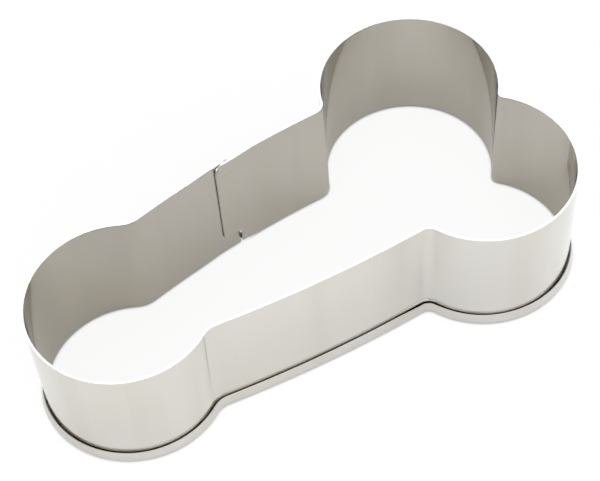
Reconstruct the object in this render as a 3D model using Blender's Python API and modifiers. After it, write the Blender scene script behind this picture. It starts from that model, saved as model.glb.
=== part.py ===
"""Sheet-steel cookie cutter: a strip on edge, hemmed at its foot, with its ends lapped and spot-welded.

Metres, +Z up. The fold of the hem stands on z = 0 and the cutting edge is at the top. +X runs from the
single round lobe at the tip to the pair of lobes, and +Y is the side where the strip's ends lap.
"""
import math

import bmesh
import bpy
from mathutils import Matrix, Vector

MM = 0.001

# Sheet strip; the outline sizes below are taken at the middle of its thickness, at the cutting edge
STRIP_THICKNESS = 0.4 * MM
CUTTER_HEIGHT = 25.0 * MM
WALL_LEAN = 0.4 * MM  # how far the foot stands inside the cutting edge

# Hem: the foot folded outwards and up, with a narrow flat land to stand on
HEM_HEIGHT = 2.4 * MM
HEM_GAP = 0.4 * MM
FOLD_INNER_RADIUS = 0.05 * MM  # at each side of the land

# Outline; each side of the shank is a shallow arc over a chord from the tip centre to the lobe centres
TIP_RADIUS = 16.45 * MM
LOBE_RADIUS = 16.6 * MM
LOBE_DISTANCE = 68.5 * MM  # tip centre to lobe centres, along X
LOBE_SPREAD = 23.6 * MM  # between the two lobe centres
SEAM_SHANK_TIP_WIDTH = 11.3 * MM  # middle line to the chord's end at the tip centre
SEAM_SHANK_LOBE_WIDTH = 14.4 * MM  # middle line to its end at the lobe centres
SEAM_SHANK_BOW = 3.1 * MM  # how far the side bows out of its chord
PLAIN_SHANK_TIP_WIDTH = 11.45 * MM
PLAIN_SHANK_LOBE_WIDTH = 16.65 * MM
PLAIN_SHANK_BOW = 2.3 * MM
TIP_FILLET = 5.7 * MM
LOBE_FILLET = 3.25 * MM
NOTCH_HEM_RADIUS = 0.65 * MM  # inside the hem, where the two lobes meet

# Lap of the strip's ends on the seam-side shank
SEAM_POSITION = 28.1 * MM  # tip centre to the inner end, along X
LAP_LENGTH = 4.1 * MM
LAP_GAP = 0.08 * MM
JOGGLE_LENGTH = 5.0 * MM  # stretch over which the outer end steps out
END_CORNER_RADIUS = 1.8 * MM
RELIEF_RADIUS = 1.0 * MM  # rounded cut at each end of the fold line
NOTCH_HEIGHT = 4.0 * MM  # cut out of the inner end, so that it clears the outer end's hem
END_CLEARANCE = 0.3 * MM  # between the end of one layer and the hem or the step of the other
SMALL_CORNER_RADIUS = 0.6 * MM

# Spot welds through the lap
WELD_NAMES = ("spot_weld_lower", "spot_weld_middle", "spot_weld_upper")
WELD_RADIUS = 1.0 * MM
WELD_PITCH = 6.5 * MM
WELD_FIT = 0.05 * MM

# Fineness of the bends
BEND_TOLERANCE = 0.03 * MM  # how far a facet may lie off the true curve
MERGE_DISTANCE = 0.001 * MM
JOGGLE_STEPS = 6
FOLD_STEPS = 4
CORNER_STEPS = 5
WELD_SIDES = 20


class Arc:
    """A stretch of the outline: it turns left where turn is positive, seen from above."""

    def __init__(self, centre, radius, start, end, left):
        self.centre, self.radius = centre, radius
        self.start = angle_of(start - centre)
        self.turn = (angle_of(end - centre) - self.start) % math.tau
        if not left:
            self.turn -= math.tau
        self.length = abs(self.turn) * radius

    def at(self, distance):
        """The point at this distance along the arc, and the direction out of the cutter there."""
        side = math.copysign(1.0, self.turn)
        angle = self.start + side * distance / self.radius
        radial = Vector((math.cos(angle), math.sin(angle)))
        return self.centre + radial * self.radius, radial * side


def angle_of(vector):
    return math.atan2(vector.y, vector.x)


def bowed_circle(tip_width, lobe_width, bow, side):
    """Centre and radius of a shank side, which bows outwards between tip and lobe centres."""
    start = Vector((0.0, side * tip_width))
    end = Vector((LOBE_DISTANCE, side * lobe_width))
    chord = end - start
    outwards = Vector((-chord.y, chord.x)).normalized() * side
    radius = (chord.length_squared / 4 + bow**2) / (2 * bow)
    return (start + end) / 2 + outwards * (bow - radius), radius


def fillet_centre(circle, other, fillet, near):
    """Centre of a fillet that rests on two circles from outside, the one nearer to a point."""
    (centre, radius), (other_centre, other_radius) = circle, other
    reach, other_reach = radius + fillet, other_radius + fillet
    between = other_centre - centre
    along = (reach**2 - other_reach**2 + between.length_squared) / (2 * between.length)
    across = math.sqrt(reach**2 - along**2)
    unit = between.normalized()
    foot = centre + unit * along
    sideways = Vector((-unit.y, unit.x)) * across
    return min((foot + sideways, foot - sideways), key=lambda point: (point - near).length)


def touch(circle, fillet):
    """Where a fillet's circle touches the circle that it rests on."""
    centre, radius = circle
    return centre + (fillet - centre).normalized() * radius


def outline():
    """The arcs of the strip in order, from its outer end round the tip and the lobes to its inner end."""
    tip = (Vector((0.0, 0.0)), TIP_RADIUS)
    seam_lobe = (Vector((LOBE_DISTANCE, LOBE_SPREAD / 2)), LOBE_RADIUS)
    plain_lobe = (Vector((LOBE_DISTANCE, -LOBE_SPREAD / 2)), LOBE_RADIUS)
    seam_shank = bowed_circle(SEAM_SHANK_TIP_WIDTH, SEAM_SHANK_LOBE_WIDTH, SEAM_SHANK_BOW, 1)
    plain_shank = bowed_circle(PLAIN_SHANK_TIP_WIDTH, PLAIN_SHANK_LOBE_WIDTH, PLAIN_SHANK_BOW, -1)
    notch_fillet = NOTCH_HEM_RADIUS + HEM_REACH

    beside_tip = Vector((TIP_RADIUS, TIP_RADIUS))
    beside_lobe = Vector((LOBE_DISTANCE - LOBE_RADIUS, LOBE_RADIUS))
    below = Vector((1.0, -1.0))
    seam_tip = fillet_centre(tip, seam_shank, TIP_FILLET, beside_tip)
    plain_tip = fillet_centre(tip, plain_shank, TIP_FILLET, beside_tip * below)
    plain_root = fillet_centre(plain_lobe, plain_shank, LOBE_FILLET, beside_lobe * below)
    seam_root = fillet_centre(seam_lobe, seam_shank, LOBE_FILLET, beside_lobe)
    notch = fillet_centre(seam_lobe, plain_lobe, notch_fillet, Vector((2 * LOBE_DISTANCE, 0.0)))

    outer_end = on_circle(seam_shank, SEAM_POSITION + LAP_LENGTH)
    inner_end = on_circle(seam_shank, SEAM_POSITION)
    stretches = (
        (seam_shank, outer_end, touch(seam_shank, seam_tip), True),
        ((seam_tip, TIP_FILLET), touch(seam_shank, seam_tip), touch(tip, seam_tip), False),
        (tip, touch(tip, seam_tip), touch(tip, plain_tip), True),
        ((plain_tip, TIP_FILLET), touch(tip, plain_tip), touch(plain_shank, plain_tip), False),
        (plain_shank, touch(plain_shank, plain_tip), touch(plain_shank, plain_root), True),
        ((plain_root, LOBE_FILLET), touch(plain_shank, plain_root), touch(plain_lobe, plain_root), False),
        (plain_lobe, touch(plain_lobe, plain_root), touch(plain_lobe, notch), True),
        ((notch, notch_fillet), touch(plain_lobe, notch), touch(seam_lobe, notch), False),
        (seam_lobe, touch(seam_lobe, notch), touch(seam_lobe, seam_root), True),
        ((seam_root, LOBE_FILLET), touch(seam_lobe, seam_root), touch(seam_shank, seam_root), False),
        (seam_shank, touch(seam_shank, seam_root), inner_end, True),
    )
    return [Arc(centre, radius, start, end, left) for (centre, radius), start, end, left in stretches]


def on_circle(circle, x):
    """The point of a circle at this x, on the side away from its centre along Y."""
    centre, radius = circle
    return Vector((x, centre.y + math.sqrt(radius**2 - (x - centre.x) ** 2)))


# Sizes that follow from the ones above
HEM_REACH = STRIP_THICKNESS * 1.5 + HEM_GAP - WALL_LEAN  # outline to the hem's outer face
FOLD_RADIUS = FOLD_INNER_RADIUS + STRIP_THICKNESS
FOLD_MIDDLE_RADIUS = FOLD_INNER_RADIUS + STRIP_THICKNESS / 2
FOLD_ARC = FOLD_MIDDLE_RADIUS * math.pi / 2
LAND_WIDTH = HEM_GAP - 2 * FOLD_INNER_RADIUS
WALL_RUN = math.hypot(CUTTER_HEIGHT - FOLD_RADIUS, WALL_LEAN)
FOLD_LINE = WALL_RUN + FOLD_ARC + LAND_WIDTH / 2
STRIP_WIDTH = FOLD_LINE + LAND_WIDTH / 2 + FOLD_ARC + HEM_HEIGHT - FOLD_RADIUS
OUTLINE = outline()
STRIP_LENGTH = sum(arc.length for arc in OUTLINE)
LAP_STEP = STRIP_THICKNESS + LAP_GAP
NOTCH_START = STRIP_LENGTH - LAP_LENGTH - END_CLEARANCE
NOTCH_LINE = WALL_RUN * (CUTTER_HEIGHT - NOTCH_HEIGHT) / (CUTTER_HEIGHT - FOLD_RADIUS)
LENGTH_CENTRE = (LOBE_DISTANCE + LOBE_RADIUS - TIP_RADIUS) / 2


def fold(across):
    """How far out and how high the strip lies, at this distance from its cutting edge."""
    if across < WALL_RUN:
        share = across / WALL_RUN
        return -WALL_LEAN * share, CUTTER_HEIGHT - (CUTTER_HEIGHT - FOLD_RADIUS) * share
    across -= WALL_RUN
    if across < FOLD_ARC:
        angle = across / FOLD_MIDDLE_RADIUS
        outwards = FOLD_MIDDLE_RADIUS * (1 - math.cos(angle))
        return outwards - WALL_LEAN, FOLD_RADIUS - FOLD_MIDDLE_RADIUS * math.sin(angle)
    across -= FOLD_ARC
    if across < LAND_WIDTH:
        return FOLD_MIDDLE_RADIUS + across - WALL_LEAN, STRIP_THICKNESS / 2
    across -= LAND_WIDTH
    angle = min(across, FOLD_ARC) / FOLD_MIDDLE_RADIUS
    outwards = FOLD_MIDDLE_RADIUS * (1 + math.sin(angle)) + LAND_WIDTH
    height = FOLD_RADIUS - FOLD_MIDDLE_RADIUS * math.cos(angle) + max(across - FOLD_ARC, 0.0)
    return outwards - WALL_LEAN, height


def lap_offset(along):
    """How far the outer end has stepped out of the outline, at this distance from that end."""
    share = (along - LAP_LENGTH - END_CLEARANCE) / JOGGLE_LENGTH
    share = min(max(share, 0.0), 1.0)
    return LAP_STEP * (1 - share * share * (3 - 2 * share))


def outline_point(along):
    """The point of the outline at this distance from the outer end, and the direction outwards."""
    for arc in OUTLINE[:-1]:
        if along <= arc.length:
            return arc.at(along)
        along -= arc.length
    return OUTLINE[-1].at(along)


def bend(along, across):
    """Where a point of the flat strip lies on the finished cutter."""
    outwards, height = fold(across)
    point, direction = outline_point(along)
    point += direction * (outwards + lap_offset(along))
    return Vector((point.x - LENGTH_CENTRE, point.y, height))


def rounded(centre, radius, first, last):
    """Points of a corner of the blank, between two angles in degrees."""
    angles = [math.radians(first + (last - first) * i / CORNER_STEPS) for i in range(CORNER_STEPS + 1)]
    return [Vector(centre) + Vector((math.cos(a), math.sin(a))) * radius for a in angles]


def blank_outline():
    """The flat strip as it is cut from sheet: X runs along it, and Y across it from the cutting edge."""
    end, small, relief = END_CORNER_RADIUS, SMALL_CORNER_RADIUS, RELIEF_RADIUS
    points = rounded((end, end), end, 180, 270)
    points += rounded((STRIP_LENGTH - end, end), end, 270, 360)
    points += rounded((STRIP_LENGTH - small, NOTCH_LINE - small), small, 0, 90)
    points += rounded((NOTCH_START + small, NOTCH_LINE + small), small, 270, 180)
    points += rounded((NOTCH_START - relief, FOLD_LINE - relief), relief, 0, 90)
    points += rounded((NOTCH_START - relief, FOLD_LINE + relief), relief, 270, 360)
    points += rounded((NOTCH_START - small, STRIP_WIDTH - small), small, 0, 90)
    points += rounded((small, STRIP_WIDTH - small), small, 90, 180)
    points += rounded((relief, FOLD_LINE + relief), relief, 180, 270)
    points += rounded((relief, FOLD_LINE - relief), relief, 90, 180)
    return points


def bend_lines():
    """Distances along the strip where it bends, and across it where it folds."""
    along, start = [], 0.0
    for arc in OUTLINE:
        facet = 2 * math.acos(1 - BEND_TOLERANCE / arc.radius)
        steps = math.ceil(abs(arc.turn) / facet)
        along += [start + arc.length * i / steps for i in range(steps + 1)]
        start += arc.length
    joggle = LAP_LENGTH + END_CLEARANCE
    along += [LAP_LENGTH, STRIP_LENGTH - LAP_LENGTH, NOTCH_START]
    along += [joggle + JOGGLE_LENGTH * i / JOGGLE_STEPS for i in range(JOGGLE_STEPS + 1)]
    across = [WALL_RUN + FOLD_ARC * i / FOLD_STEPS for i in range(FOLD_STEPS + 1)]
    across += [WALL_RUN + FOLD_ARC + LAND_WIDTH + FOLD_ARC * i / FOLD_STEPS for i in range(FOLD_STEPS + 1)]
    return along, across


def steel(name, colour, roughness):
    material = bpy.data.materials.new(name)
    material.use_nodes = True
    shader = material.node_tree.nodes["Principled BSDF"]
    shader.inputs["Base Color"].default_value = (*colour, 1.0)
    shader.inputs["Metallic"].default_value = 1.0
    shader.inputs["Roughness"].default_value = roughness
    return material


def mesh_of(shape, name):
    """A curve's or a modified object's shape as a mesh of its own."""
    evaluated = shape.evaluated_get(bpy.context.evaluated_depsgraph_get())
    mesh = bpy.data.meshes.new_from_object(evaluated)
    mesh.name = name
    return mesh


def flat_blank(collection):
    """One flat face in the outline of the blank, still unbent."""
    points = blank_outline()
    curve = bpy.data.curves.new("blank", "CURVE")
    curve.dimensions = "2D"
    curve.fill_mode = "BOTH"
    spline = curve.splines.new("POLY")
    spline.points.add(len(points) - 1)
    for target, point in zip(spline.points, points):
        target.co = (point.x, point.y, 0.0, 1.0)
    spline.use_cyclic_u = True
    blank = bpy.data.objects.new("blank", curve)
    collection.objects.link(blank)
    mesh = mesh_of(blank, "cutter_strip")
    bpy.data.objects.remove(blank)
    return mesh


def bent_strip(collection, material):
    """The strip: a flat blank, scored at each bend, then folded and bent and given its thickness."""
    mesh = flat_blank(collection)
    bm = bmesh.new()
    bm.from_mesh(mesh)
    bmesh.ops.remove_doubles(bm, verts=bm.verts, dist=MERGE_DISTANCE)
    bmesh.ops.dissolve_limit(bm, angle_limit=math.radians(1), verts=bm.verts, edges=bm.edges)
    along, across = bend_lines()
    lines = [((x, 0, 0), (1, 0, 0)) for x in along] + [((0, y, 0), (0, 1, 0)) for y in across]
    for point, normal in lines:
        geometry = bm.verts[:] + bm.edges[:] + bm.faces[:]
        bmesh.ops.bisect_plane(bm, geom=geometry, dist=MERGE_DISTANCE, plane_co=point, plane_no=normal)
    for vert in bm.verts:
        vert.co = bend(vert.co.x, vert.co.y)
    bm.to_mesh(mesh)
    bm.free()

    sheet = bpy.data.objects.new("bent_sheet", mesh)
    collection.objects.link(sheet)
    thickness = sheet.modifiers.new("sheet_thickness", "SOLIDIFY")
    thickness.thickness = STRIP_THICKNESS
    thickness.offset = 0.0
    thickness.use_even_offset = True
    thickness.use_quality_normals = True
    solid = mesh_of(sheet, "cutter_strip")
    bpy.data.objects.remove(sheet)
    bm = bmesh.new()
    bm.from_mesh(solid)
    bmesh.ops.recalc_face_normals(bm, faces=bm.faces)
    bm.to_mesh(solid)
    bm.free()

    solid.shade_smooth()
    solid.set_sharp_from_angle(angle=math.radians(35))
    solid.materials.append(material)
    strip = bpy.data.objects.new("cutter_strip", solid)
    collection.objects.link(strip)
    return strip


def weld_place(height):
    """The middle of the lap at this height, turned so that Z runs through both of its layers."""
    point, direction = outline_point(STRIP_LENGTH - LAP_LENGTH / 2)
    lean = WALL_LEAN * (CUTTER_HEIGHT - height) / (CUTTER_HEIGHT - FOLD_RADIUS)
    point += direction * (LAP_STEP / 2 - lean)
    through = Vector((*(direction * (CUTTER_HEIGHT - FOLD_RADIUS)), -WALL_LEAN))
    turned = through.to_track_quat("Z", "Y").to_matrix().to_4x4()
    return Matrix.Translation((point.x - LENGTH_CENTRE, point.y, height)) @ turned


def cylinder(name, radius, depth, place, collection):
    bpy.ops.mesh.primitive_cylinder_add(vertices=WELD_SIDES, radius=radius, depth=depth)
    made = bpy.context.object
    made.name = made.data.name = name
    made.matrix_world = place
    for other in made.users_collection:
        other.objects.unlink(made)
    collection.objects.link(made)
    return made


def weld(strip, parts, cutters):
    """Slugs of weld metal through both layers of the lap, each in its own seat in the strip."""
    slug_length = 2 * STRIP_THICKNESS + LAP_GAP
    seat_depth = slug_length + 2 * STRIP_THICKNESS
    middle = (CUTTER_HEIGHT + NOTCH_HEIGHT) / 2
    colour = steel("weld_steel", (0.50, 0.48, 0.45), 0.42)
    for i, name in enumerate(WELD_NAMES):
        place = weld_place(middle + (i - (len(WELD_NAMES) - 1) / 2) * WELD_PITCH)
        seat = cylinder(name + "_seat", WELD_RADIUS + WELD_FIT, seat_depth, place, cutters)
        seat.hide_render = True
        seat.display_type = "WIRE"
        cut = strip.modifiers.new(seat.name, "BOOLEAN")
        cut.operation = "DIFFERENCE"
        cut.object = seat
        slug = cylinder(name, WELD_RADIUS, slug_length, place, parts)
        slug.data.materials.append(colour)
        slug.data.shade_smooth()
        slug.data.set_sharp_from_angle(angle=math.radians(35))


def new_collection(name):
    collection = bpy.data.collections.new(name)
    bpy.context.scene.collection.children.link(collection)
    return collection


for leftover in list(bpy.data.objects):
    bpy.data.objects.remove(leftover)

cutter = new_collection("cookie_cutter")
guides = new_collection("cutters")
cutter_strip = bent_strip(cutter, steel("rolled_steel", (0.62, 0.60, 0.56), 0.28))
weld(cutter_strip, cutter, guides)
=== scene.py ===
"""A cookie cutter of thin stainless strip, bent on edge into a long outline with round lobes.

Everything is in metres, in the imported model's frame: the hem stands on z = 0, +X runs from the round
lobe at the tip to the pair of lobes, and the strip's ends lap on the +Y side.
"""

import math

import bmesh
import bpy
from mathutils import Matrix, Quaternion, Vector


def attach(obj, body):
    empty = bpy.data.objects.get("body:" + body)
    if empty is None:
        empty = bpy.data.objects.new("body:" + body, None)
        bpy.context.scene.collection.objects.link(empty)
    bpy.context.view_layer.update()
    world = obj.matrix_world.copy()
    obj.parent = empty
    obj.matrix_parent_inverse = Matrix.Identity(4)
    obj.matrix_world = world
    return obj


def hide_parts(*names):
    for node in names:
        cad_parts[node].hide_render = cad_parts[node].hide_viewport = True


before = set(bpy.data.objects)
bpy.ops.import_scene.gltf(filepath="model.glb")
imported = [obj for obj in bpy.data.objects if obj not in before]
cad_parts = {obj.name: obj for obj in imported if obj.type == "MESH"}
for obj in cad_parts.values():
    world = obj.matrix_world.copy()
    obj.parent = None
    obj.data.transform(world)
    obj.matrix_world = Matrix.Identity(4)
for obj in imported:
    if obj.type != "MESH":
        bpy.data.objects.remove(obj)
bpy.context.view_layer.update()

MM = 0.001


# Camera. It looks down at the cutter from the tip's side, over the plain shank, through a long lens, and
# it is tilted a little to one side, as the photograph is.
CAMERA_PLACE = Vector((-94.25, -173.16, 279.52)) * MM
CAMERA_AIM = Vector((2.68, 1.25, 12.5)) * MM
CAMERA_ROLL = math.radians(-4.7)
LENS = 109.83
FILM_WIDTH = 36.0

# Whatever the load left selected is let go, because an operator acts on all that is selected
for leftover in bpy.context.selected_objects:
    leftover.select_set(False)
bpy.ops.object.camera_add(location=CAMERA_PLACE)
camera = bpy.context.object
camera.name = "camera"
camera.rotation_mode = "QUATERNION"
sight = (CAMERA_AIM - CAMERA_PLACE).to_track_quat("-Z", "Y")
camera.rotation_quaternion = sight @ Quaternion((0, 0, 1), CAMERA_ROLL)
camera.data.lens = LENS
camera.data.sensor_width = FILM_WIDTH
bpy.context.scene.camera = camera


# Outline. The strip is bent round a former, whose edge is a chain of round stretches that run into each
# other: the tip, the two shallow sides of the shank, the pair of lobes, and a fillet between each two.
TIP_RADIUS = 16.45 * MM
LOBE_RADIUS = 16.6 * MM
LOBE_DISTANCE = 68.5 * MM
LOBE_SPREAD = 23.6 * MM
SEAM_SIDE = (11.3 * MM, 14.4 * MM, 3.1 * MM)  # half width at the tip, at the lobes, and the bow between
PLAIN_SIDE = (11.45 * MM, 16.65 * MM, 2.3 * MM)
TIP_FILLET = 5.0 * MM
PLAIN_TIP_FILLET = 4.4 * MM
LOBE_FILLET = 2.4 * MM
NOTCH_FILLET = 1.0 * MM
SEAM_PLACE = 28.5 * MM  # from the tip's centre to the inner end, along X
LAP = 3.7 * MM
FACET = 0.002 * MM  # how far a facet may lie off the true curve
PATH_STEP = 0.1 * MM

middle_x = (LOBE_DISTANCE + LOBE_RADIUS - TIP_RADIUS) / 2
tip_centre = Vector((-middle_x, 0))
lobe_x = LOBE_DISTANCE - middle_x


def shank_side(half_widths, side):
    """The big circle that one side of the shank is a part of, as its centre and radius."""
    at_tip, at_lobe, bow = half_widths
    start = tip_centre + Vector((0, side * at_tip))
    end = Vector((lobe_x, side * at_lobe))
    chord = end - start
    outwards = Vector((-chord.y, chord.x)).normalized() * side
    radius = (chord.length_squared / 4 + bow**2) / (2 * bow)
    return (start + end) / 2 + outwards * (bow - radius), radius


def fillet(one, other, radius, hint):
    """A circle of this radius that touches two others from outside, on the side where the hint lies."""
    (centre, reach), (other_centre, other_reach) = one, other
    reach += radius
    other_reach += radius
    apart = other_centre - centre
    along = (reach**2 - other_reach**2 + apart.length_squared) / (2 * apart.length)
    across = math.sqrt(reach**2 - along**2)
    ahead = apart.normalized()
    sideways = Vector((-ahead.y, ahead.x)) * across
    choices = [centre + ahead * along + sideways, centre + ahead * along - sideways]
    return min(choices, key=lambda point: (point - hint).length), radius


def meeting(bulge, hollow):
    """Where a circle and the fillet beside it touch."""
    return bulge[0] + (hollow[0] - bulge[0]).normalized() * bulge[1]


def on_side(circle, x):
    """The point of a circle that lies at this X, on its seam side."""
    return Vector((x, circle[0].y + math.sqrt(circle[1] ** 2 - (x - circle[0].x) ** 2)))


tip = (tip_centre, TIP_RADIUS)
seam_lobe = (Vector((lobe_x, LOBE_SPREAD / 2)), LOBE_RADIUS)
plain_lobe = (Vector((lobe_x, -LOBE_SPREAD / 2)), LOBE_RADIUS)
seam_side = shank_side(SEAM_SIDE, 1)
plain_side = shank_side(PLAIN_SIDE, -1)
circles = [
    seam_side,
    fillet(tip, seam_side, TIP_FILLET, Vector((0, TIP_RADIUS))),
    tip,
    fillet(tip, plain_side, PLAIN_TIP_FILLET, Vector((0, -TIP_RADIUS))),
    plain_side,
    fillet(plain_lobe, plain_side, LOBE_FILLET, Vector((0, -TIP_RADIUS))),
    plain_lobe,
    fillet(seam_lobe, plain_lobe, NOTCH_FILLET, Vector((LOBE_DISTANCE, 0))),
    seam_lobe,
    fillet(seam_lobe, seam_side, LOBE_FILLET, Vector((0, TIP_RADIUS))),
    seam_side,
]
inner_end_x = SEAM_PLACE - middle_x
corners = [on_side(seam_side, inner_end_x + LAP)]
for i in range(len(circles) - 1):
    bulge, hollow = (i + 1, i) if i % 2 else (i, i + 1)
    corners.append(meeting(circles[bulge], circles[hollow]))
corners.append(on_side(seam_side, inner_end_x))

arcs = []  # centre, radius, first angle, turn, where it starts along the strip
strip_length = 0.0
for i, (centre, radius) in enumerate(circles):
    first = math.atan2(*(corners[i] - centre).yx)
    last = math.atan2(*(corners[i + 1] - centre).yx)
    turn = (last - first) % math.tau - (math.tau if i % 2 else 0.0)
    arcs.append((centre, radius, first, turn, strip_length))
    strip_length += abs(turn) * radius


def on_former(along):
    """The point at this distance along the strip, and the direction out of the cutter there."""
    for centre, radius, first, turn, start in reversed(arcs):
        if along >= start:
            break
    side = math.copysign(1.0, turn)
    angle = first + side * (along - start) / radius
    spoke = Vector((math.cos(angle), math.sin(angle)))
    return centre + spoke * radius, spoke * side


# Cutter strip. One strip of cold-rolled stainless sheet, cut to length with its corners rounded, folded out
# and up along its foot into a hem whose free edge is dressed off, then bent on edge round the former. Where
# its ends lap, the outer one gives way by half a step and the inner one by the other half.
SHEET = 0.4 * MM
HEIGHT = 25.0 * MM
LEAN = 0.4 * MM  # how far the foot stands inside the cutting edge
HEM_HEIGHT = 2.4 * MM
HEM_GAP = 0.4 * MM
HEM_CHAMFER = 0.3 * MM  # the strip's lower edge is dressed off on its outer side
FOLD_STEPS = 12
LAP_GAP = 0.08 * MM
GIVE_WAY = 6.0 * MM  # stretch over which each end gives way
FLARE = 0.05 * MM  # how far the inner end springs off the outer one, past the welds
FLARE_REACH = 2.0 * MM
END_CLEARANCE = 0.15 * MM
NOTCH_HEIGHT = 4.0 * MM  # cut from the inner end, so that it clears the outer end's hem
TOP_CORNER = 1.6 * MM
SMALL_CORNER = 0.6 * MM
OUTER_NICK = 1.0 * MM  # rounded nick at the outer end of the fold line, and a smaller one at its inner end
INNER_NICK = 0.25 * MM
CORNER_SEGMENTS = 10
WALL_ROWS = 10
RIM_ROW = 0.3 * MM
STEP_COLUMNS = 16
FLARE_COLUMNS = 6
EDGE_ROUND = 0.02 * MM
EDGE_SEGMENTS = 2
EDGE_ANGLE = math.radians(50)  # an edge sharper than this gets the fine rounding
SMOOTH_ANGLE = math.radians(20)  # faces that meet more flatly than this are shaded as one
SAME_PLACE = 0.01 * MM  # nearer than this, a vertex is the one meant
SLIVER = 0.001 * MM  # nearer than this, a cut takes the vertex that is there
FOOT_LIFT = 0.6 * MM  # how far the inner end's foot is bent up, beside the outer end's hem
LIFT_REACH = 5.0 * MM
LIFT_HEIGHT = 7.0 * MM

# How far the hem's top leans in towards the wall, at distances along the strip, all in millimetres. It was
# folded before the strip was bent, so it closes round the lobes and opens in the corners.
HEM_LEANS = (
    (0.0, 0.33),
    (20.0, 0.33),
    (24.0, 0.24),
    (30.0, 0.31),
    (86.0, 0.31),
    (92.0, 0.335),
    (100.0, 0.35),
    (131.0, 0.35),
    (137.0, 0.18),
    (142.0, 0.31),
    (149.0, 0.335),
    (155.0, 0.35),
    (160.0, 0.32),
    (165.0, 0.26),
    (172.0, 0.31),
    (195.0, 0.33),
    (197.0, 0.20),
    (200.0, 0.33),
    (253.0, 0.33),
    (258.0, 0.22),
    (263.0, 0.33),
)

# Dents pressed into the sheet: the electrodes' marks at the welds, and two small knocks from outside
WELD_HEIGHTS = (8.0 * MM, 14.5 * MM, 21.0 * MM)
WELD_RADIUS = 1.0 * MM
WELD_INSET = 2.05 * MM  # from the outer end
PRESS_SPREAD = 1.5  # a dent's outer radius, in those of its floor
PRESS_PITCH = 0.2 * MM
KNOCKS = ((11.1 * MM, 9.0 * MM), (196.4 * MM, 4.0 * MM))  # along the strip, and up it
KNOCK_RADIUS = 0.4 * MM
KNOCK_DEPTH = 0.03 * MM

fold_radius = (HEM_GAP + SHEET) / 2  # at the middle of the sheet
fold_arc = math.pi * fold_radius
wall_run = HEIGHT - fold_radius - SHEET / 2
flange_run = HEM_HEIGHT - fold_radius - SHEET / 2
strip_width = wall_run + fold_arc + flange_run
strip_top = HEIGHT
strip_bottom = HEIGHT - strip_width
fold_top = HEIGHT - wall_run
fold_line = fold_top - fold_arc / 2
notch_x = strip_length - LAP - END_CLEARANCE
lap_step = SHEET + LAP_GAP
inner_weld = strip_length - LAP + WELD_INSET
presses = [(WELD_INSET, height, WELD_RADIUS, LAP_GAP / 2) for height in WELD_HEIGHTS]
presses += [(inner_weld, height, WELD_RADIUS, -LAP_GAP / 2) for height in WELD_HEIGHTS]
presses += [(along, height, KNOCK_RADIUS, -KNOCK_DEPTH) for along, height in KNOCKS]


def everything(mode="VERT"):
    """In edit mode, selects the whole piece."""
    bpy.ops.mesh.select_mode(type=mode)
    bpy.ops.mesh.select_all(action="SELECT")


def pick(piece, wanted, mode="VERT"):
    """In edit mode, selects the vertices or faces of the piece whose middle is wanted."""
    bpy.ops.mesh.select_mode(type=mode)
    bpy.ops.mesh.select_all(action="DESELECT")
    shape = bmesh.from_edit_mesh(piece.data)
    if mode == "VERT":
        for vert in shape.verts:
            vert.select_set(wanted(vert.co))
    else:
        for face in shape.faces:
            face.select_set(wanted(face.calc_center_median()))
    shape.select_flush_mode()
    bmesh.update_edit_mesh(piece.data)


def is_at(point, x, z):
    return math.hypot(point.x - x, point.z - z) < SAME_PLACE


def cut(place, normal):
    """Cuts a line of edges through what is selected."""
    bpy.ops.mesh.bisect(plane_co=place, plane_no=normal, threshold=SLIVER)


def score(place, normal):
    """Cuts a line of edges right across the sheet."""
    everything()
    cut(place, normal)


def round_corners(piece, places, radius):
    pick(piece, lambda point: any(is_at(point, x, z) for x, z in places))
    bpy.ops.mesh.bevel(offset=radius, offset_type="OFFSET", affect="VERTICES", segments=CORNER_SEGMENTS)


def refine(piece, x, z, reach):
    """Scores a small square of the sheet finely, where something is pressed into it."""
    def inside(point):
        return abs(point.x - x) < reach and abs(point.z - z) < reach

    lines = int(2 * reach / PRESS_PITCH)
    for line in range(lines + 1):
        offset = (line - lines / 2) * PRESS_PITCH
        pick(piece, inside, "FACE")
        cut((x + offset, 0, 0), (1, 0, 0))
        pick(piece, inside, "FACE")
        cut((0, 0, z + offset), (0, 0, 1))


def eased(share):
    """A share from 0 to 1 that starts and ends gently."""
    share = min(max(share, 0.0), 1.0)
    return share * share * (3 - 2 * share)


def folded(along, height):
    """How far in and how high a point of the flat sheet lies, once its foot is folded."""
    beyond = fold_top - height
    if beyond < 0:
        return LEAN * (HEIGHT - height) / wall_run, height
    if beyond < fold_arc:
        angle = beyond / fold_radius
        return LEAN - fold_radius * (1 - math.cos(angle)), fold_top - fold_radius * math.sin(angle)
    rise = beyond - fold_arc
    return LEAN - 2 * fold_radius + pinch(along) * rise / flange_run, fold_top + rise


def pinch(along):
    """How far the top of the hem leans in towards the wall, at this distance along the strip."""
    here = along / MM
    for (start, lean), (end, next_lean) in zip(HEM_LEANS, HEM_LEANS[1:]):
        if here <= end:
            return (lean + (next_lean - lean) * eased((here - start) / (end - start))) * MM
    return next_lean * MM


def lifted(along, height):
    """How much higher the inner end's foot stands, beside the outer end's hem."""
    near_end = 1 - eased((notch_x - along) / LIFT_REACH)
    return FOOT_LIFT * near_end * eased((LIFT_HEIGHT - height) / LIFT_HEIGHT)


def pressed(point):
    """How far in a point of the flat sheet is pushed by the dents pressed into it."""
    push = 0.0
    for x, z, radius, depth in presses:
        distance = math.hypot(point.x - x, point.z - z)
        push += depth * eased((radius * PRESS_SPREAD - distance) / (radius * (PRESS_SPREAD - 1)))
    return push


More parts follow.
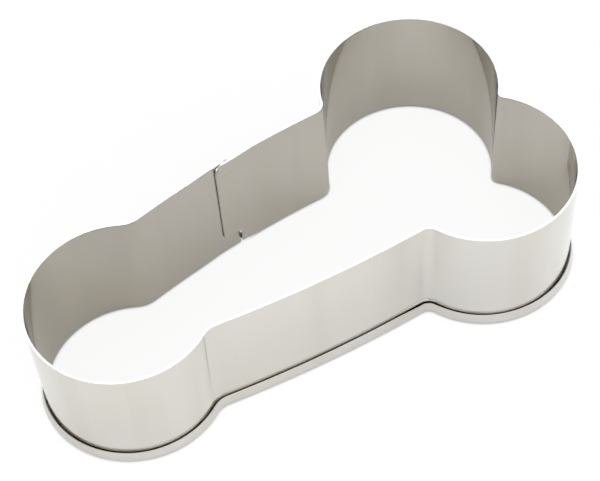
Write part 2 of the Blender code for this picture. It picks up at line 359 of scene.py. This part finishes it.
bpy.ops.mesh.primitive_plane_add(size=1, rotation=(math.pi / 2, 0, 0))
strip = bpy.context.object
strip.name = strip.data.name = "strip_of_sheet"
strip.location = (strip_length / 2, 0, (strip_top + strip_bottom) / 2)
strip.scale = (strip_length, strip_width, 1)
bpy.ops.object.transform_apply(location=True, rotation=True, scale=True)
bpy.ops.object.mode_set(mode="EDIT")

score((0, 0, NOTCH_HEIGHT), (0, 0, 1))
score((notch_x, 0, 0), (1, 0, 0))
for place in (-OUTER_NICK, -INNER_NICK, 0, INNER_NICK, OUTER_NICK):
    score((0, 0, fold_line + place), (0, 0, 1))
pick(strip, lambda point: point.x > notch_x and point.z < NOTCH_HEIGHT, "FACE")
bpy.ops.mesh.delete(type="FACE")
everything("FACE")
bpy.ops.mesh.dissolve_faces()
pick(strip, lambda point: is_at(point, 0, fold_line))
bpy.ops.transform.translate(value=(OUTER_NICK, 0, 0))
pick(strip, lambda point: is_at(point, notch_x, fold_line))
bpy.ops.transform.translate(value=(-INNER_NICK, 0, 0))
round_corners(strip, [(0, strip_top), (strip_length, strip_top)], TOP_CORNER)
round_corners(strip, [(strip_length, NOTCH_HEIGHT), (notch_x, NOTCH_HEIGHT)], SMALL_CORNER)
round_corners(strip, [(0, strip_bottom), (notch_x, strip_bottom)], SMALL_CORNER)
round_corners(strip, [(0, fold_line - OUTER_NICK), (0, fold_line + OUTER_NICK)], SMALL_CORNER)

# Lines across the strip where it bends, and along it where it folds
columns = []
for centre, radius, first, turn, start in arcs:
    steps = math.ceil(abs(turn) / (2 * math.acos(1 - FACET / radius)))
    columns += [start + abs(turn) * radius * step / steps for step in range(steps)]
for step in range(STEP_COLUMNS + 1):
    columns += [LAP + GIVE_WAY * step / STEP_COLUMNS, notch_x - GIVE_WAY * step / STEP_COLUMNS]
columns += [strip_length - FLARE_REACH * step / FLARE_COLUMNS for step in range(1, FLARE_COLUMNS + 1)]
for column in columns:
    score((column, 0, 0), (1, 0, 0))
rows = [strip_top - RIM_ROW]
rows += [strip_top - wall_run * row / WALL_ROWS for row in range(1, WALL_ROWS + 1)]
rows += [fold_top - fold_arc * step / FOLD_STEPS for step in range(1, FOLD_STEPS + 1)]
rows += [strip_bottom + RIM_ROW]
for row in rows:
    score((0, 0, row), (0, 0, 1))
for x, z, radius, depth in presses:
    refine(strip, x, z, radius * PRESS_SPREAD + PRESS_PITCH)
bpy.ops.object.mode_set(mode="OBJECT")

# The strip's lower edge becomes the hem's free edge, and only the face turned out is dressed off
hem_edge = strip.vertex_groups.new(name="hem_edge")
lowest = [vert.index for vert in strip.data.vertices if vert.co.z < strip_bottom + SLIVER]
hem_edge.add(lowest, 1.0, "REPLACE")
strip.vertex_groups.new(name="other_face")

strip.data.uv_layers[0].name = "sheet"
for loop in strip.data.loops:
    place = strip.data.vertices[loop.vertex_index].co
    strip.data.uv_layers["sheet"].data[loop.index].uv = (place.x, place.z)
for vert in strip.data.vertices:
    push = pressed(vert.co)
    inwards, height = folded(vert.co.x, vert.co.z)
    vert.co = (vert.co.x, inwards + push, height + lifted(vert.co.x, height))

former_line = bpy.data.curves.new("former", "CURVE")
former_line.dimensions = "2D"
path = former_line.splines.new("POLY")
path_steps = math.ceil(strip_length / PATH_STEP)
path.points.add(path_steps)
for step, stop in enumerate(path.points):
    along = strip_length * step / path_steps
    place, outwards = on_former(along)
    outer_step = 1 - eased((along - LAP) / GIVE_WAY)
    inner_step = 1 - eased((strip_length - LAP - along) / GIVE_WAY)
    place = place + outwards * lap_step * (outer_step - inner_step) / 2
    place = place - outwards * FLARE * (1 - eased((strip_length - along) / FLARE_REACH))
    stop.co = (place.x, place.y, 0, 1)
former = bpy.data.objects.new("former", former_line)
bpy.context.scene.collection.objects.link(former)

# One slot for the sheet and one for its cut edges, filled once their steel is made
strip.data.materials.append(None)
strip.data.materials.append(None)
bend = strip.modifiers.new("round_the_former", "CURVE")
bend.object = former
bend.deform_axis = "POS_X"
thickness = strip.modifiers.new("sheet", "SOLIDIFY")
thickness.thickness = SHEET
thickness.offset = 0
thickness.use_even_offset = True
thickness.use_quality_normals = True
thickness.material_offset_rim = 1
thickness.shell_vertex_group = "other_face"
burr = strip.modifiers.new("edges", "BEVEL")
burr.width = EDGE_ROUND
burr.segments = EDGE_SEGMENTS
burr.limit_method = "ANGLE"
burr.angle_limit = EDGE_ANGLE
burr.harden_normals = True
for modifier in (bend, thickness):
    bpy.ops.object.modifier_apply(modifier=modifier.name)
bpy.ops.object.mode_set(mode="EDIT")
bpy.ops.mesh.select_mode(type="VERT")
bpy.ops.mesh.select_all(action="DESELECT")
bpy.ops.object.vertex_group_set_active(group="hem_edge")
bpy.ops.object.vertex_group_select()
bpy.ops.object.vertex_group_set_active(group="other_face")
bpy.ops.object.vertex_group_deselect()
bpy.ops.mesh.bevel(offset=HEM_CHAMFER, affect="EDGES", segments=1, material=1)
bpy.ops.object.mode_set(mode="OBJECT")
bpy.ops.object.vertex_group_remove(all=True)
bpy.ops.object.modifier_apply(modifier=burr.name)
bpy.data.objects.remove(former)
bpy.ops.object.mode_set(mode="EDIT")
everything()
bpy.ops.mesh.normals_make_consistent(inside=False)
bpy.ops.object.mode_set(mode="OBJECT")
bpy.ops.object.shade_smooth_by_angle(angle=SMOOTH_ANGLE)


# Finish of the strip. Cold-rolled sheet keeps faint lines along the strip from the rolls, and bands up the
# wall are painted in, darker, as painted reflections of the bent sheet. It has been handled, so there are
# smudges and a few hair scratches, and its foot is rubbed duller where it stands on tables, with painted
# shade right along the fold. Only its cut edges are bright.
STEEL = (0.62, 0.594, 0.53)
STEEL_COOLER = (0.612, 0.59, 0.54)
GLOSS = (0.04, 0.09)  # roughness of the clean sheet and of its smudges
SMUDGES = 65  # to the metre
SMUDGE_SPAN = (0.4, 0.7)  # the noise at which a smudge starts, and at which it is full
TINT_TURN = 1.0
TINT_SPAN = (0.4, 0.6)
ROLL_LINES = (25, 5000)  # to the metre, along the strip and across it
ROLL_SPAN = (0.3, 0.7)
ROLL_DULLNESS = 0.015
ROLL_DEPTH = 0.0005 * MM
# Painted reflection: random darker bands up the wall, in place of the uneven reflections of the bent sheet
REFLECTION_BANDS = (80, 5)
REFLECTION_BAND_SPAN = (0.5, 0.7)
REFLECTION_BAND_STEEL = (0.585, 0.56, 0.50)
SCRATCHES = (90, 4500)
SCRATCH_TURN = math.radians(12)
SCRATCH_SPAN = (0.66, 0.74)
SCRATCH_DULLNESS = 0.08
SCRATCH_DEPTH = 0.002 * MM
FOOT_RUB = 0.9 * MM  # half the width of the rubbed band along the fold
FOOT_DULLNESS = 0.12
FOOT_PAINTED_SHADE = (0.44, 0.41, 0.365)  # painted shade darkening the fold, right where it stands on the table
FOOT_SHADE_REACH = 0.7  # half the width of the painted shade band, in those of the rubbed one
SHEARED_STEEL = (0.73, 0.725, 0.72)
SHEARED_SHADE = (0.63, 0.625, 0.62)
SHEARED_GLOSS = (0.26, 0.40)
SHEAR_MARKS = 4500
SHEAR_SPAN = (0.3, 0.7)
SHEAR_SHADE_SPAN = (0.55, 0.75)
SHEAR_DEPTH = 0.004 * MM


def sheet_pattern(nodes, links, scale, turn=0.0, detail=3.0):
    """A noise laid on the flat sheet, with this many marks to the metre along the strip and across it."""
    place = nodes.new("ShaderNodeUVMap")
    place.uv_map = "sheet"
    spread = nodes.new("ShaderNodeMapping")
    spread.inputs["Rotation"].default_value = (0, 0, turn)
    spread.inputs["Scale"].default_value = (scale[0], scale[1], 1)
    noise = nodes.new("ShaderNodeTexNoise")
    noise.noise_dimensions = "2D"
    noise.inputs["Scale"].default_value = 1.0
    noise.inputs["Detail"].default_value = detail
    links.new(place.outputs["UV"], spread.inputs["Vector"])
    links.new(spread.outputs["Vector"], noise.inputs["Vector"])
    return noise.outputs["Fac"]


def between(nodes, links, value, start, end, first, last):
    """A value that goes from first to last as the given one goes from start to end, and stops there."""
    span = nodes.new("ShaderNodeMapRange")
    span.inputs["From Min"].default_value = start
    span.inputs["From Max"].default_value = end
    span.inputs["To Min"].default_value = first
    span.inputs["To Max"].default_value = last
    links.new(value, span.inputs["Value"])
    return span.outputs["Result"]


def sum_of(nodes, links, values):
    total = values[0]
    for value in values[1:]:
        adder = nodes.new("ShaderNodeMath")
        links.new(total, adder.inputs[0])
        links.new(value, adder.inputs[1])
        total = adder.outputs[0]
    return total


def tinted(nodes, links, value, colour, other_colour):
    """A colour that goes from the first to the other as the value goes from 0 to 1."""
    mixer = nodes.new("ShaderNodeMix")
    mixer.data_type = "RGBA"
    if isinstance(colour, tuple):
        mixer.inputs["A"].default_value = (*colour, 1)
    else:
        links.new(colour, mixer.inputs["A"])
    mixer.inputs["B"].default_value = (*other_colour, 1)
    links.new(value, mixer.inputs["Factor"])
    return mixer.outputs["Result"]


def raised(nodes, links, height, distance, under=None):
    """The normal of a surface with this height pressed into it."""
    relief = nodes.new("ShaderNodeBump")
    relief.inputs["Distance"].default_value = distance
    links.new(height, relief.inputs["Height"])
    if under:
        links.new(under, relief.inputs["Normal"])
    return relief.outputs["Normal"]


def rolled_steel():
    """The two faces of the sheet, as they came from the rolls and from years of use."""
    material = bpy.data.materials.new("rolled_steel")
    material.use_nodes = True
    nodes, links = material.node_tree.nodes, material.node_tree.links
    shader = nodes["Principled BSDF"]
    shader.inputs["Metallic"].default_value = 1.0
    lines = sheet_pattern(nodes, links, ROLL_LINES)
    smudge = sheet_pattern(nodes, links, (SMUDGES, SMUDGES), detail=5.0)
    tint = sheet_pattern(nodes, links, (SMUDGES / 2, SMUDGES / 2), turn=TINT_TURN)
    hair = sheet_pattern(nodes, links, SCRATCHES, turn=SCRATCH_TURN)
    scratch = between(nodes, links, hair, *SCRATCH_SPAN, 0.0, 1.0)

    place = nodes.new("ShaderNodeUVMap")
    place.uv_map = "sheet"
    split = nodes.new("ShaderNodeSeparateXYZ")
    links.new(place.outputs["UV"], split.inputs["Vector"])
    from_fold = nodes.new("ShaderNodeMath")
    from_fold.operation = "SUBTRACT"
    links.new(split.outputs["Y"], from_fold.inputs[0])
    from_fold.inputs[1].default_value = fold_line
    off_fold = nodes.new("ShaderNodeMath")
    off_fold.operation = "ABSOLUTE"
    links.new(from_fold.outputs[0], off_fold.inputs[0])

    dullness = [
        between(nodes, links, smudge, *SMUDGE_SPAN, *GLOSS),
        between(nodes, links, lines, *ROLL_SPAN, -ROLL_DULLNESS, ROLL_DULLNESS),
        between(nodes, links, scratch, 0.0, 1.0, 0.0, SCRATCH_DULLNESS),
        between(nodes, links, off_fold.outputs[0], FOOT_RUB / 2, FOOT_RUB, FOOT_DULLNESS, 0.0),
    ]
    links.new(sum_of(nodes, links, dullness), shader.inputs["Roughness"])
    shade = between(nodes, links, tint, *TINT_SPAN, 0.0, 1.0)
    colour = tinted(nodes, links, shade, STEEL, STEEL_COOLER)
    # Painted reflection: darker bands up the wall, standing in for the bent sheet's uneven reflections
    reflection_band = between(nodes, links, sheet_pattern(nodes, links, REFLECTION_BANDS), *REFLECTION_BAND_SPAN, 0.0, 1.0)
    colour = tinted(nodes, links, reflection_band, colour, REFLECTION_BAND_STEEL)
    # Painted shade: the fold is darkened right where it meets the table
    foot_shade = between(nodes, links, off_fold.outputs[0], FOOT_RUB / 2, FOOT_RUB * FOOT_SHADE_REACH, 1.0, 0.0)
    links.new(tinted(nodes, links, foot_shade, colour, FOOT_PAINTED_SHADE), shader.inputs["Base Color"])
    relief = raised(nodes, links, lines, ROLL_DEPTH)
    links.new(raised(nodes, links, scratch, -SCRATCH_DEPTH, relief), shader.inputs["Normal"])
    return material


def sheared_edge():
    """The cut edge of the sheet, brighter and rougher, with the shear's marks across its thickness."""
    material = bpy.data.materials.new("sheared_edge")
    material.use_nodes = True
    nodes, links = material.node_tree.nodes, material.node_tree.links
    shader = nodes["Principled BSDF"]
    shader.inputs["Metallic"].default_value = 1.0
    marks = sheet_pattern(nodes, links, (SHEAR_MARKS, SHEAR_MARKS), detail=2.0)
    shade = between(nodes, links, marks, *SHEAR_SHADE_SPAN, 0.0, 1.0)
    links.new(tinted(nodes, links, shade, SHEARED_STEEL, SHEARED_SHADE), shader.inputs["Base Color"])
    links.new(between(nodes, links, marks, *SHEAR_SPAN, *SHEARED_GLOSS), shader.inputs["Roughness"])
    links.new(raised(nodes, links, marks, SHEAR_DEPTH), shader.inputs["Normal"])
    return material


strip.data.materials[0] = rolled_steel()
strip.data.materials[1] = sheared_edge()
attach(strip, "root")
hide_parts("cutter_strip")


# Spot welds. Three spots up the lap, where the electrodes pressed the two layers together and fused them.
# Each shows only as the matt floor of a shallow dimple, on both faces.
SPOT_PROUD = 0.01 * MM  # above the dimple's floor
SPOT_RADIUS = 0.95 * MM
SPOT_DISH = 0.006 * MM
SPOT_SIDES = 64
LAND = 0.25 * MM  # width of the ring that the electrode's rim left
RIM_ROUND = 0.02 * MM
RIM_ANGLE = math.radians(40)
WELD_STEEL = (0.612, 0.58, 0.513)
WELD_TINT = (0.63, 0.603, 0.545)
WELD_MOTTLE = 3500.0
MOTTLE_SPAN = (0.35, 0.7)
WELD_GLOSS = (0.13, 0.22)

lap_place, lap_outwards = on_former(WELD_INSET)
wall_tilt = LEAN / wall_run
across_lap = Vector((*lap_outwards, -wall_tilt)).normalized()


def weld_steel():
    """The same steel, dulled by the electrodes and tinted a little by their heat."""
    material = bpy.data.materials.new("weld_steel")
    material.use_nodes = True
    nodes, links = material.node_tree.nodes, material.node_tree.links
    shader = nodes["Principled BSDF"]
    shader.inputs["Metallic"].default_value = 1.0
    place = nodes.new("ShaderNodeTexCoord")
    mottle = nodes.new("ShaderNodeTexNoise")
    mottle.inputs["Scale"].default_value = WELD_MOTTLE
    mottle.inputs["Detail"].default_value = 3.0
    links.new(place.outputs["Object"], mottle.inputs["Vector"])
    tint = between(nodes, links, mottle.outputs["Fac"], *MOTTLE_SPAN, 0.0, 1.0)
    links.new(tinted(nodes, links, tint, WELD_STEEL, WELD_TINT), shader.inputs["Base Color"])
    gloss = between(nodes, links, mottle.outputs["Fac"], 0.0, 1.0, *WELD_GLOSS)
    links.new(gloss, shader.inputs["Roughness"])
    return material


spot_finish = weld_steel()
for node, height in zip(("spot_weld_lower", "spot_weld_middle", "spot_weld_upper"), WELD_HEIGHTS):
    middle = lap_place - lap_outwards * LEAN * (HEIGHT - height) / wall_run
    bpy.ops.mesh.primitive_cylinder_add(
        vertices=SPOT_SIDES,
        radius=SPOT_RADIUS,
        depth=2 * (SHEET + SPOT_PROUD),
        location=(*middle, height),
        rotation=across_lap.to_track_quat("Z", "Y").to_euler(),
    )
    spot = bpy.context.object
    spot.name = spot.data.name = node.replace("spot_weld", "weld_spot")
    bpy.ops.object.mode_set(mode="EDIT")
    pick(spot, lambda point: abs(point.z) > SHEET, "FACE")
    bpy.ops.mesh.inset(thickness=LAND, use_individual=True)
    bpy.ops.mesh.inset(thickness=LAND, depth=-SPOT_DISH, use_individual=True)
    bpy.ops.object.mode_set(mode="OBJECT")
    bpy.ops.object.transform_apply(location=True, rotation=True, scale=True)
    rim = spot.modifiers.new("rim", "BEVEL")
    rim.width = RIM_ROUND
    rim.segments = EDGE_SEGMENTS
    rim.limit_method = "ANGLE"
    rim.angle_limit = RIM_ANGLE
    bpy.ops.object.modifier_apply(modifier=rim.name)
    bpy.ops.object.shade_smooth_by_angle(angle=RIM_ANGLE)
    spot.data.materials.append(spot_finish)
    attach(spot, "root")
    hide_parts(node)


# Floor and studio. A plain white table under soft boxes all round and a pale sky. The camera sees the table
# bleached nearly to white, with a faint shadow left along the foot, and the steel mirrors the lit table.
FLOOR_SIZE = 4.0
FLOOR_COLOUR = (0.95, 0.95, 0.96)
BLEACH = 0.9  # how much of the white the camera sees in place of the lit table
GLOSSY_BLEACH = 0.1  # and how much of it the steel sees
CONTACT_REACH = 0.8 * MM  # how far the dark line along the foot spreads over the table
CONTACT_SHADE = 0.35
CONTACT_SPAN = (0.32, 0.60)  # the openness at which the line is darkest, and at which it ends
CONTACT_SAMPLES = 4
BOX_DISTANCE = 0.9
BOX_DEPTH = 0.5
LAMP_COLOUR = (1.0, 1.12, 1.30)

# Each light's name, its bearing and height in degrees, its width in metres, and its power in watts
LIGHTS = (
    ("front_light", 270, 18, 1.2, 5.0),
    ("lobe_side_light", 325, 18, 1.2, 3.8),
    ("tip_side_light", 190, 18, 1.2, 3.7),
    ("back_light", 60, 60, 0.5, 1.2),
)
SKY = (0.765, 0.725, 0.655)

bpy.ops.mesh.primitive_plane_add(size=FLOOR_SIZE)
floor = bpy.context.object
floor.name = "floor"
ground = bpy.data.materials.new("floor")
ground.use_nodes = True
nodes, links = ground.node_tree.nodes, ground.node_tree.links
matt = nodes["Principled BSDF"]
matt.inputs["Base Color"].default_value = (*FLOOR_COLOUR, 1)
matt.inputs["Roughness"].default_value = 1.0
matt.inputs["Specular IOR Level"].default_value = 0.0
glow = nodes.new("ShaderNodeEmission")
nearness = nodes.new("ShaderNodeAmbientOcclusion")
nearness.inputs["Distance"].default_value = CONTACT_REACH
nearness.samples = CONTACT_SAMPLES
contact = between(nodes, links, nearness.outputs["AO"], *CONTACT_SPAN, CONTACT_SHADE, 1.0)
links.new(contact, glow.inputs["Color"])
mixed = nodes.new("ShaderNodeMixShader")
rays = nodes.new("ShaderNodeLightPath")
mirrored = nodes.new("ShaderNodeMath")
mirrored.operation = "MAXIMUM"
links.new(rays.outputs["Is Glossy Ray"], mirrored.inputs[0])
links.new(rays.outputs["Is Transmission Ray"], mirrored.inputs[1])
faint = nodes.new("ShaderNodeMath")
faint.operation = "MULTIPLY"
faint.inputs[1].default_value = GLOSSY_BLEACH
links.new(mirrored.outputs[0], faint.inputs[0])
share = nodes.new("ShaderNodeMath")
share.operation = "MULTIPLY_ADD"
share.inputs[1].default_value = BLEACH
links.new(rays.outputs["Is Camera Ray"], share.inputs[0])
links.new(faint.outputs[0], share.inputs[2])
links.new(share.outputs[0], mixed.inputs[0])
links.new(matt.outputs[0], mixed.inputs[1])
links.new(glow.outputs[0], mixed.inputs[2])
links.new(mixed.outputs[0], nodes["Material Output"].inputs[0])
floor.data.materials.append(ground)

for name, bearing, rise, width, power in LIGHTS:
    towards = Vector((math.cos(math.radians(bearing)), math.sin(math.radians(bearing)), 0))
    towards = towards * math.cos(math.radians(rise)) + Vector((0, 0, math.sin(math.radians(rise))))
    bpy.ops.object.light_add(type="AREA", location=towards * BOX_DISTANCE)
    lamp = bpy.context.object
    lamp.name = name
    lamp.rotation_euler = towards.to_track_quat("Z", "Y").to_euler()
    lamp.data.shape = "RECTANGLE"
    lamp.data.size = width
    lamp.data.size_y = BOX_DEPTH
    lamp.data.energy = power
    lamp.data.color = LAMP_COLOUR

world = bpy.data.worlds.new("studio")
world.use_nodes = True
world.node_tree.nodes["Background"].inputs["Color"].default_value = (*SKY, 1)
world.node_tree.nodes["Background"].inputs["Strength"].default_value = 1.0
bpy.context.scene.world = world
bpy.context.scene.view_settings.view_transform = "Standard"
